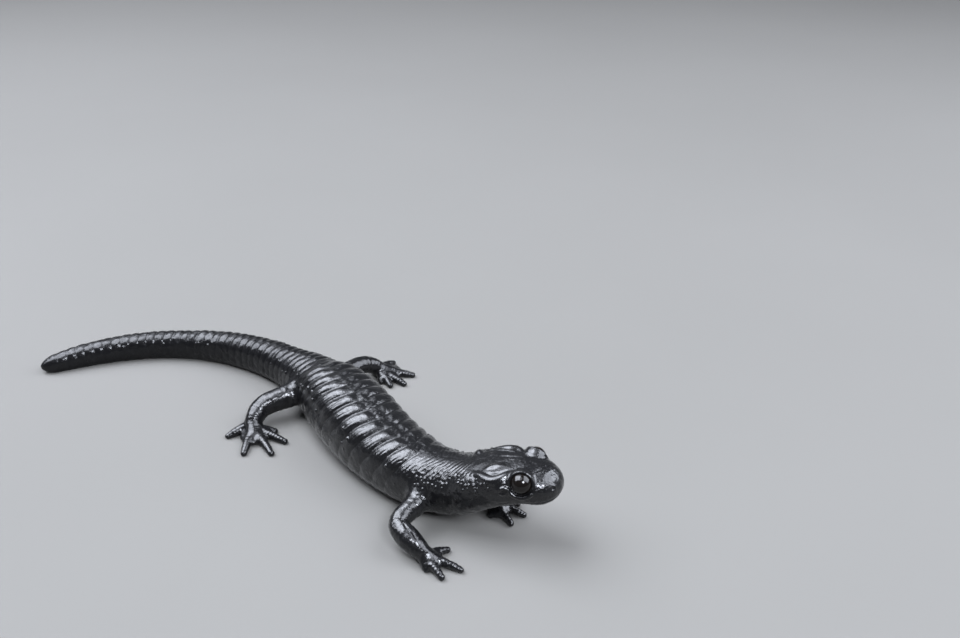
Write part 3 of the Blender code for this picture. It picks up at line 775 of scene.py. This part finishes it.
def along_chain(points, centres, radii, stops):
    """Depth of the skin over a tapering rod, and how far along the rod each point is."""
    depth = np.full(len(points), 1e3)
    along = np.zeros(len(points))
    for i in range(len(centres) - 1):
        run = centres[i + 1] - centres[i]
        off = points - centres[i]
        t = np.clip(off @ run / (run @ run), 0.0, 1.0)
        gap = np.linalg.norm(off - t[:, None] * run, axis=1)
        gap = gap - radii[i] - (radii[i + 1] - radii[i]) * t
        closer = gap < depth
        depth = np.where(closer, gap, depth)
        along = np.where(closer, stops[i] + (stops[i + 1] - stops[i]) * t, along)
    return depth, along


def make_limb(limb):
    kind = limb.split("_")[0]
    root = SHOULDER_ALONG if kind == "arm" else HIP_ALONG
    joints = LIMBS[limb]
    course, lengths = limb_course(root, joints)
    heel, wrist, palm = (place(root, j.forward, j.left, PALM_LEVEL) for j in joints[3:])
    facing = palm - wrist
    digits = []
    for number, (forward_by, left_by) in enumerate(DIGIT_TIPS[limb]):
        tip = place(root, forward_by, left_by, PALM_LEVEL)
        # The outer toe of the hind foot grows from the heel, with skin webbed along it.
        outer = number == OUTER_TOE
        start = heel if outer else wrist
        thick = OUTER_TOE_ROOT_RADIUS if outer else TOE_ROOT_RADIUS[kind]
        share = OUTER_TOE_ROOT_SHARE if outer else DIGIT_ROOT_SHARE
        base = start + (tip - start) * share
        digits.append(digit_course(base, tip, thick, TOE_TIP_RADIUS[kind]))
    everything = np.concatenate([course[0]] + [digit[0] for digit in digits])
    return {
        "course": course,
        "joints": lengths,
        "palm": palm,
        "half": np.array(PALM_HALF_SIZE[kind]),
        "facing": facing / np.linalg.norm(facing),
        "digits": digits,
        "low": everything.min(axis=0) - LIMB_MARGIN,
        "high": everything.max(axis=0) + LIMB_MARGIN,
    }


LIMB_FLESH = {limb: make_limb(limb) for limb in LIMBS}


def arm_line(spots, radius):
    """The course of a fold or groove on the right arm, thinning out at both ends."""
    centres = np.array([place(SHOULDER_ALONG, forward, -out, up) for forward, out, up in spots])
    stops = np.linspace(0.0, 1.0, len(spots))
    return centres, radius * thinned(np.sin(math.pi * stops)), stops


SHOULDER_FOLD_COURSE = arm_line(SHOULDER_FOLD, SHOULDER_FOLD_RADIUS)
FOREARM_GROOVE_COURSE = arm_line(FOREARM_GROOVE, FOREARM_GROOVE_RADIUS)


def limb_creases(limb, along, points):
    """Skin folds where a limb bends; no crease runs all the way round."""
    joints = limb["joints"]
    along = along + swell("limb crease wander", points)
    creases = sum(
        height * hump(along, joints[number] + past, half)
        for number, past, height, half in LIMB_CREASES
    )
    creases = creases * (LIMB_CREASE_SHARE + swell("limb crease breaks", points))
    return creases + swell("limb lumps", points) + swell("limb grain", points)


def digit_creases(along, points):
    turns = (along + swell("toe crease wander", points)) / TOE_CREASE_PITCH
    return TOE_CREASE_HEIGHT * np.sin(turns * 2.0 * math.pi) * fade(along, *TOE_CREASES_BEGIN)


def foot_depth(limb, points, fine):
    """The palm or sole, a flattened pad, and the toes that leave it."""
    off = points - limb["palm"]
    ahead, side, _ = limb["facing"]
    across = off[:, 1] * ahead - off[:, 0] * side
    local = np.stack([off @ limb["facing"], across, off[:, 2]], axis=1)
    size = np.linalg.norm(local / limb["half"], axis=1)
    foot = np.linalg.norm(local, axis=1) * (1.0 - 1.0 / np.maximum(size, 1e-6))
    for course in limb["digits"]:
        toe, along = along_chain(points, *course)
        if fine:
            toe = toe - digit_creases(along, points)
        foot = flow_together(foot, toe, TOE_WEB)
    return foot


def lay_limbs(flesh, points, fine):
    for name, limb in LIMB_FLESH.items():
        near = np.flatnonzero(np.all((points > limb["low"]) & (points < limb["high"]), axis=1))
        if len(near) == 0:
            continue
        spots = points[near]
        rod, along = along_chain(spots, *limb["course"])
        foot = foot_depth(limb, spots, fine)
        if fine:
            rod = rod - limb_creases(limb, along, spots)
            foot = foot - swell("foot lumps", spots)
        whole = flow_together(rod, foot, FOOT_FILLET)
        if name == "arm_right":
            groove, _ = along_chain(spots, *FOREARM_GROOVE_COURSE)
            whole = carve(whole, groove, ARM_FOLD_FILLET)
        fillet = fade(along / limb["joints"][2], *BODY_FILLET)
        flesh[near] = flow_together(flesh[near], whole, fillet)
        if name == "arm_right":
            fold, _ = along_chain(spots, *SHOULDER_FOLD_COURSE)
            flesh[near] = flow_together(flesh[near], fold, ARM_FOLD_FILLET)
    return flesh


# ==== the whole skin
SLOPE_REACH = 0.04
LEAST_STEEPNESS = 0.25
LONGEST_SETTLING = 0.3
NEAR_SHARE = 1.35
FAR_DEPTH = 9.0
CELLS_AT_ONCE = 4000
SKIN_MARGIN = 1.5
EVENING_SHARE = 0.6
EVENING_ROUNDS = 3
RELIEF_ROUNDS = 4
RELIEF_STEP = 0.25
RELIEF_SHARE = 0.9
RESTING = 0.02
# How much thinner the film of mucus grows over the loin, and again over the hips.
DRIER_LOIN = (44.0, 54.0, 0.0, 0.28)
DRIER_HIPS = (57.0, 68.0, 0.0, 0.27)


def skin_depth(points, fine):
    """Above zero outside the animal and below zero inside it, in millimetres or nearly."""
    flesh, along, from_top, half_width, nose_fade = body_section(points)
    flesh = flesh - parotoid_swelling(along, from_top, nose_fade)
    if fine:
        flesh = flesh - skin_relief(points, along, from_top, half_width)
        flesh = nostrils(flesh, points)
    flesh = lay_lids(flesh, points)
    flesh = lay_head_folds(flesh, points)
    flesh = lay_limbs(flesh, points, fine)
    return np.maximum(flesh, -points[:, 2])


def slope(points):
    """The plain skin's depth at each point, and which way it grows fastest."""
    here = skin_depth(points, False)
    steps = []
    for axis in range(3):
        moved = points.copy()
        moved[:, axis] += SLOPE_REACH
        steps.append((skin_depth(moved, False) - here) / SLOPE_REACH)
    return here, np.stack(steps, axis=1)


def settle_on_skin(points):
    depth, way = slope(points)
    steep = np.maximum(np.sum(way * way, axis=1), LEAST_STEEPNESS)
    step = np.clip(depth / steep, -LONGEST_SETTLING, LONGEST_SETTLING)
    points = points - way * step[:, None]
    points[:, 2] = np.maximum(points[:, 2], 0.0)
    return points


def lattice(*counts):
    axes = np.meshgrid(*[np.arange(count) for count in counts], indexing="ij")
    return np.stack(axes, axis=-1).reshape(-1, 3)


def cells_near_skin(low, blocks):
    """Depths on a fine lattice, worked out only in the coarse blocks where the skin can be."""
    ratio = FINE_PER_COARSE
    depth = np.full([count * ratio for count in blocks], FAR_DEPTH, dtype=np.float32)
    index = lattice(*blocks)
    rough = skin_depth(low + (index * ratio + (ratio - 1) / 2.0) * FINE_CELL, False)
    near = np.abs(rough) < COARSE_CELL * NEAR_SHARE
    filled = index[(rough < 0.0) & ~near]
    by_block = depth.reshape(blocks[0], ratio, blocks[1], ratio, blocks[2], ratio)
    by_block[filled[:, 0], :, filled[:, 1], :, filled[:, 2], :] = -FAR_DEPTH
    chosen = index[near]
    steps = lattice(ratio, ratio, ratio)
    for start in range(0, len(chosen), CELLS_AT_ONCE):
        part = chosen[start:start + CELLS_AT_ONCE]
        cells = (part[:, None, :] * ratio + steps[None, :, :]).reshape(-1, 3)
        depth[tuple(cells.T)] = skin_depth(low + cells * FINE_CELL, False)
    return depth


def draw_skin(depth, low):
    """Four-sided faces along the skin: one point to each cell that the skin crosses."""
    inside = depth < 0.0
    corners = lattice(2, 2, 2)
    filled = np.zeros([count - 1 for count in depth.shape], dtype=np.int8)
    for corner in corners:
        filled += inside[tuple(slice(c, c + size) for c, size in zip(corner, filled.shape))]
    crossed = (filled > 0) & (filled < len(corners))
    cells = np.argwhere(crossed)
    number = np.full(crossed.shape, -1, dtype=np.int64)
    number[crossed] = np.arange(len(cells))
    total = np.zeros((len(cells), 3))
    hits = np.zeros(len(cells))
    for axis in range(3):
        for corner in corners[corners[:, axis] == 0]:
            start = cells + corner
            end = start.copy()
            end[:, axis] += 1
            first = depth[tuple(start.T)]
            second = depth[tuple(end.T)]
            hit = (first < 0.0) != (second < 0.0)
            share = np.where(hit, first / np.where(hit, first - second, 1.0), 0.0)
            crossing = start.astype(float)
            crossing[:, axis] += share
            total += crossing * hit[:, None]
            hits += hit
    points = low + total / hits[:, None] * FINE_CELL
    faces = []
    for axis in range(3):
        side, up = (axis + 1) % 3, (axis + 2) % 3
        here = [slice(1, count - 1) for count in depth.shape]
        ahead = list(here)
        ahead[axis] = slice(2, depth.shape[axis])
        start = inside[tuple(here)]
        end = inside[tuple(ahead)]
        for leaving in (True, False):
            spots = np.argwhere((start & ~end) if leaving else (~start & end)) + 1
            ring = []
            for step in ((0, 0), (-1, 0), (-1, -1), (0, -1)):
                cell = spots.copy()
                cell[:, [side, up]] += step
                ring.append(number[tuple(cell.T)])
            faces.append(np.stack(ring if leaving else ring[::-1], axis=1))
    return points, np.concatenate(faces)


def even_out(points, faces):
    """Slide the points along the skin until the faces are even, and back onto the skin."""
    after = np.roll(faces, -1, axis=1)
    pairs = [np.stack([faces[:, edge], after[:, edge]], axis=1) for edge in range(4)]
    first, second = np.concatenate(pairs).T
    ends = np.concatenate([first, second])
    others = np.concatenate([second, first])
    count = np.bincount(ends, minlength=len(points))
    for _ in range(EVENING_ROUNDS):
        sums = [np.bincount(ends, column[others], len(points)) for column in points.T]
        middle = np.stack([total / count for total in sums], axis=1)
        points = settle_on_skin(points + EVENING_SHARE * (middle - points))
    return points


def set_places(mesh, points):
    mesh.vertices.foreach_set("co", np.ascontiguousarray(points * MM, dtype=np.float32).ravel())


def put_in_scene(name, data):
    thing = bpy.data.objects.new(name, data)
    bpy.context.scene.collection.objects.link(thing)
    return thing


def mesh_piece(name, points, faces):
    mesh = bpy.data.meshes.new(name)
    mesh.vertices.add(len(points))
    set_places(mesh, points)
    mesh.loops.add(faces.size)
    mesh.loops.foreach_set("vertex_index", faces.astype(np.int32).ravel())
    mesh.polygons.add(len(faces))
    mesh.polygons.foreach_set("loop_start", np.arange(0, faces.size, 4, dtype=np.int32))
    mesh.update(calc_edges=True)
    mesh.validate()
    mesh.shade_smooth()
    return put_in_scene(name, mesh)


def raise_relief(mesh):
    """Lift every fold, wart and crease out of the plain skin, and note how wet each place is."""
    flat = np.empty(len(mesh.vertices) * 3, dtype=np.float32)
    mesh.vertices.foreach_get("co", flat)
    points = settle_on_skin(flat.reshape(-1, 3).astype(float) / MM)
    _, way = slope(points)
    way = way / np.maximum(np.linalg.norm(way, axis=1), 1e-6)[:, None]
    resting = points[:, 2] < RESTING
    for _ in range(RELIEF_ROUNDS):
        step = np.clip(skin_depth(points, True), -RELIEF_STEP, RELIEF_STEP)
        points = points - way * step[:, None] * RELIEF_SHARE
        points[:, 2] = np.where(resting, 0.0, np.maximum(points[:, 2], 0.0))
    set_places(mesh, points)
    mesh.update()
    # The skin's glands sit most densely on the head and back, so the hinder end is less wet.
    along, _ = nearest_on_spine(points)
    wetness = 1.0 - fade(along, *DRIER_LOIN) - fade(along, *DRIER_HIPS)
    spread = mesh.attributes.new("wetness", "FLOAT", "POINT")
    spread.data.foreach_set("value", wetness.astype(np.float32))


def make_skin():
    low = np.array(CAD_BOX[0]) / MM - SKIN_MARGIN
    high = np.array(CAD_BOX[1]) / MM + SKIN_MARGIN
    blocks = [int(math.ceil(span / COARSE_CELL)) for span in high - low]
    points, faces = draw_skin(cells_near_skin(low, blocks), low)
    skin = mesh_piece("skin", even_out(points, faces), faces)
    # Halve the faces' size, so that they can hold the finest creases.
    finer = skin.modifiers.new("finer_faces", "SUBSURF")
    finer.levels = 1
    finer.render_levels = 1
    graph = bpy.context.evaluated_depsgraph_get()
    mesh = bpy.data.meshes.new_from_object(skin.evaluated_get(graph))
    skin.modifiers.clear()
    skin.data = mesh
    raise_relief(mesh)
    mesh.shade_smooth()
    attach(skin, "root")
    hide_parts(*[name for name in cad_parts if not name.startswith("eye")])
    return skin


def make_eye(side):
    """An eyeball with the cornea's slight extra bulge at the front."""
    eye = EYES[side]
    ring, step = np.divmod(np.arange((EYE_RINGS + 1) * EYE_SIDES), EYE_SIDES)
    polar = (math.pi * ring / EYE_RINGS)[:, None]
    turn = (2.0 * math.pi * step / EYE_SIDES)[:, None]
    radius = eye["radius"] * (1.0 + CORNEA_BULGE * np.exp(-((polar / CORNEA_SPREAD) ** 4)))
    round_axis = np.cos(turn) * eye["ahead"] + np.sin(turn) * eye["up"]
    points = eye["centre"] + radius * (np.cos(polar) * eye["axis"] + np.sin(polar) * round_axis)
    here = np.arange(EYE_RINGS * EYE_SIDES).reshape(EYE_RINGS, EYE_SIDES)
    beside = np.roll(here, -1, axis=1)
    faces = np.stack([here, beside, beside + EYE_SIDES, here + EYE_SIDES], axis=2)
    ball = mesh_piece(f"eyeball_{side}", points, faces.reshape(-1, 4))
    bm = bmesh.new()
    bm.from_mesh(ball.data)
    bmesh.ops.remove_doubles(bm, verts=bm.verts, dist=0.0005 * MM)
    bmesh.ops.recalc_face_normals(bm, faces=bm.faces)
    bm.to_mesh(ball.data)
    bm.free()
    ball.data.shade_smooth()
    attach(ball, "root")
    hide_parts(f"eye_{side}")
    return ball


# ==== finishes
def linear(colour):
    """An sRGB hex colour as the linear values that light adds up in."""
    channels = [int(colour[i:i + 2], 16) / 255.0 for i in (1, 3, 5)]
    return [c / 12.92 if c <= 0.04045 else ((c + 0.055) / 1.055) ** 2.4 for c in channels] + [1.0]


def add(tree, kind, sockets=None, **settings):
    """Add a node, set its properties, and set or link its sockets."""
    node = tree.nodes.new(kind)
    for name, value in settings.items():
        setattr(node, name, value)
    for name, value in (sockets or {}).items():
        if isinstance(value, bpy.types.NodeSocket):
            tree.links.new(value, node.inputs[name])
        else:
            node.inputs[name].default_value = value
    return node


def new_finish(name):
    """An empty material, its nodes, and the place on the piece that its patterns follow."""
    material = bpy.data.materials.new(name)
    material.use_nodes = True
    tree = material.node_tree
    tree.nodes.clear()
    return material, tree, add(tree, "ShaderNodeTexCoord").outputs["Object"]


def wet_amphibian_skin():
    """Living skin without scales, black with melanin all through, under a film of mucus.

    The film gives the sharp sheen; the skin below it is grained, so the sheen is broken.
    Under the film the skin itself hardly shines, as the two bend light almost alike.
    """
    material, tree, place_on = new_finish("wet_amphibian_skin")
    # Blotches of slightly greyer pigment, about 2 mm across.
    pigment = add(tree, "ShaderNodeTexNoise", {"Vector": place_on, "Scale": 500.0, "Detail": 3.0})
    shades = {0: pigment.outputs["Fac"], 6: linear("#070708"), 7: linear("#0f0f10")}
    black = add(tree, "ShaderNodeMix", shades, data_type="RGBA")
    # The film is uneven, thinner on high spots: patches of 0.6 mm.
    film = add(tree, "ShaderNodeTexNoise", {"Vector": place_on, "Scale": 1600.0, "Detail": 2.0})
    roughness = add(
        tree, "ShaderNodeMapRange",
        {"Value": film.outputs["Fac"], "From Min": 0.3, "From Max": 0.7, "To Min": 0.26, "To Max": 0.44},
    )
    patches = add(
        tree, "ShaderNodeMapRange",
        {"Value": film.outputs["Fac"], "From Min": 0.35, "From Max": 0.65, "To Min": 1.0, "To Max": 0.72},
    )
    wetness = add(tree, "ShaderNodeAttribute", attribute_name="wetness")
    shares = {0: patches.outputs["Result"], 1: wetness.outputs["Fac"]}
    film_share = add(tree, "ShaderNodeMath", shares, operation="MULTIPLY")
    # Grain of the outer skin: cells are 0.02 mm, drawn at 0.18 mm so that they show.
    grain = add(tree, "ShaderNodeTexNoise", {"Vector": place_on, "Scale": 5500.0, "Detail": 3.0})
    pebble = add(tree, "ShaderNodeTexVoronoi", {"Vector": place_on, "Scale": 2600.0})
    rough = {"Strength": 1.0, "Distance": 0.000028, "Height": grain.outputs["Fac"]}
    rough_grain = add(tree, "ShaderNodeBump", rough)
    pebbled = {"Height": pebble.outputs["Distance"], "Normal": rough_grain.outputs["Normal"]}
    skin_grain = add(tree, "ShaderNodeBump", {"Strength": 1.0, "Distance": 0.000018, **pebbled})
    surface = {
        "Base Color": black.outputs[2],
        "Roughness": roughness.outputs["Result"],
        "IOR": 1.40,
        "Specular IOR Level": 0.12,
        "Normal": skin_grain.outputs["Normal"],
        "Coat Weight": film_share.outputs["Value"],
        "Coat Roughness": 0.07,
        "Coat IOR": 1.45,
        "Coat Normal": rough_grain.outputs["Normal"],
    }
    shader = add(tree, "ShaderNodeBsdfPrincipled", surface)
    add(tree, "ShaderNodeOutputMaterial", {"Surface": shader.outputs["BSDF"]})
    return material


def wet_black_eye():
    """A clear wet cornea over an iris so dark brown that it and the pupil look alike."""
    material, tree, place_on = new_finish("wet_black_eye")
    iris = add(tree, "ShaderNodeTexNoise", {"Vector": place_on, "Scale": 3500.0, "Detail": 2.0})
    shades = {0: iris.outputs["Fac"], 6: linear("#050505"), 7: linear("#110d0a")}
    dark = add(tree, "ShaderNodeMix", shades, data_type="RGBA")
    surface = {"Base Color": dark.outputs[2], "Roughness": 0.12, "IOR": 1.38}
    shader = add(tree, "ShaderNodeBsdfPrincipled", surface)
    add(tree, "ShaderNodeOutputMaterial", {"Surface": shader.outputs["BSDF"]})
    return material


def matt_studio_card():
    """Painted card, sprayed matt, in a mid grey that the panels lift to pale."""
    material, tree, place_on = new_finish("matt_studio_card")
    mottle = add(tree, "ShaderNodeTexNoise", {"Vector": place_on, "Scale": 9.0, "Detail": 3.0})
    shades = {0: mottle.outputs["Fac"], 6: linear("#555451"), 7: linear("#5a5956")}
    paint = add(tree, "ShaderNodeMix", shades, data_type="RGBA")
    surface = {"Base Color": paint.outputs[2], "Roughness": 0.85, "IOR": 1.45}
    shader = add(tree, "ShaderNodeBsdfPrincipled", surface)
    add(tree, "ShaderNodeOutputMaterial", {"Surface": shader.outputs["BSDF"]})
    return material


# ==== studio
FLOOR_HALF = 1400.0
CAMERA_LENS = 34.0
CAMERA_SENSOR = 36.0
CAMERA_SPOT = (36.74, -126.37, 96.5)
CAMERA_DOWN = math.radians(29.5)

# Panels of even light: bearing in degrees to the right of straight back, height in degrees
# above the floor, width, length and brightness.
SOFTBOXES = [
    ("left_panel", "RECTANGLE", -71.0, 57.0, 460.0, 540.0, 14.5),
    ("back_panel", "RECTANGLE", -30.0, 52.0, 330.0, 460.0, 3.6),
    ("right_panel", "RECTANGLE", 84.0, 42.0, 520.0, 500.0, 9.5),
    ("front_panel", "RECTANGLE", 150.0, 46.0, 170.0, 170.0, 58.0),
    ("top_panel", "ELLIPSE", -100.0, 82.0, 400.0, 440.0, 3.0),
]
SOFTBOX_AWAY = 600.0
DAYLIGHT = "#eef3ff"
ROOM_COLOUR = "#b4b8be"
ROOM_BRIGHTNESS = 0.28


def lay_floor():
    corners = np.array([[-1.0, -1.0, 0.0], [1.0, -1.0, 0.0], [1.0, 1.0, 0.0], [-1.0, 1.0, 0.0]])
    floor = mesh_piece("studio_floor", corners * FLOOR_HALF, np.array([[0, 1, 2, 3]]))
    floor.data.materials.append(matt_studio_card())


def light_studio():
    for name, shape, bearing, elevation, width, length, brightness in SOFTBOXES:
        turn = math.radians(bearing)
        rise = math.radians(elevation)
        level = math.cos(rise)
        direction = Vector((math.sin(turn) * level, math.cos(turn) * level, math.sin(rise)))
        lamp = bpy.data.lights.new(name, "AREA")
        lamp.shape = shape
        lamp.size = width * MM
        lamp.size_y = length * MM
        lamp.energy = brightness * math.pi * lamp.size * lamp.size_y
        lamp.color = linear(DAYLIGHT)[:3]
        box = put_in_scene(name, lamp)
        box.location = direction * SOFTBOX_AWAY * MM
        box.rotation_euler = direction.to_track_quat("Z", "Y").to_euler()
    world = bpy.data.worlds.new("studio_room")
    world.use_nodes = True
    backdrop = world.node_tree.nodes["Background"]
    backdrop.inputs["Color"].default_value = linear(ROOM_COLOUR)
    backdrop.inputs["Strength"].default_value = ROOM_BRIGHTNESS
    bpy.context.scene.world = world
    bpy.context.scene.view_settings.view_transform = "Standard"


def set_camera():
    camera = bpy.data.cameras.new("camera")
    camera.lens = CAMERA_LENS
    camera.sensor_width = CAMERA_SENSOR
    camera.clip_start = 0.005
    camera.clip_end = 50.0
    stand = put_in_scene("camera", camera)
    stand.location = Vector(CAMERA_SPOT) * MM
    stand.rotation_euler = Euler((math.pi / 2.0 - CAMERA_DOWN, 0.0, 0.0))
    bpy.context.scene.camera = stand


# ==== put together
set_camera()
skin = make_skin()
skin.data.materials.clear()
skin.data.materials.append(wet_amphibian_skin())
eye_finish = wet_black_eye()
for eye_side in EYES:
    make_eye(eye_side).data.materials.append(eye_finish)
lay_floor()
light_studio()
